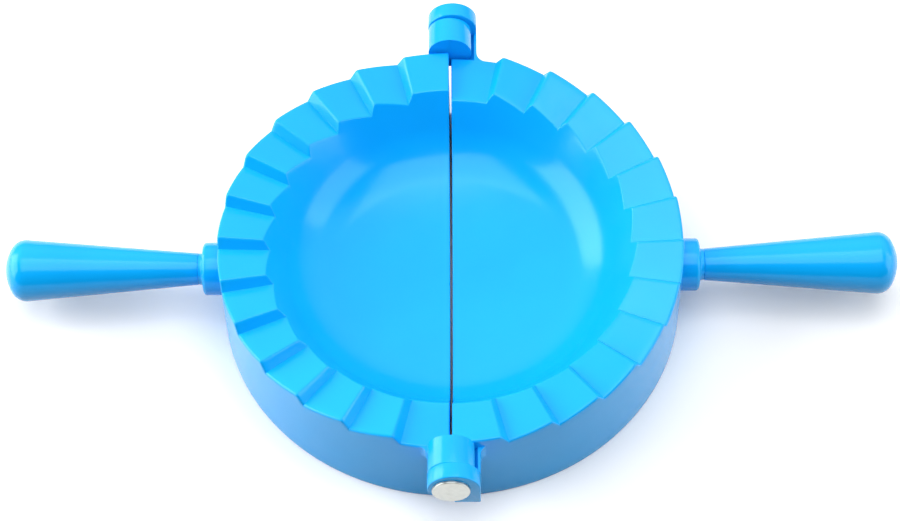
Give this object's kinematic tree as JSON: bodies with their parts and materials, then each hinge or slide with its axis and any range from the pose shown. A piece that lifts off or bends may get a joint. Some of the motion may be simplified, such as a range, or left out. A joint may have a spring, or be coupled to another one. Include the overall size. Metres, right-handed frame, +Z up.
{
  "type": "empanada press",
  "caption": "Folding dough press: hinged half bowls with meshing toothed rims and a tapered handle on each side, closed over a filled disc of dough to crimp its edge.",
  "frame": {"origin": "on the table under the middle of the hinge line", "axes": "+X to the right handle, +Y along the hinge line to the rear hinge, +Z up"},
  "size_m": [0.2418, 0.1524, 0.0345],
  "materials": {
    "blue_plastic": "glossy moulded plastic",
    "pin_metal": "bright plated pin"
  },
  "bodies": {
    "left_half": {"left_shell": "blue_plastic", "left_handle": "blue_plastic"},
    "right_half": {"right_shell": "blue_plastic", "right_handle": "blue_plastic", "front_hinge_pin": "pin_metal", "rear_hinge_pin": "pin_metal"}
  },
  "joints": [
    {"name": "fold", "type": "hinge", "parent": "left_half", "child": "right_half", "pos_m": [0, 0, 0.0277], "axis": [0, -1, 0], "range_deg": [0, 180]}
  ]
}
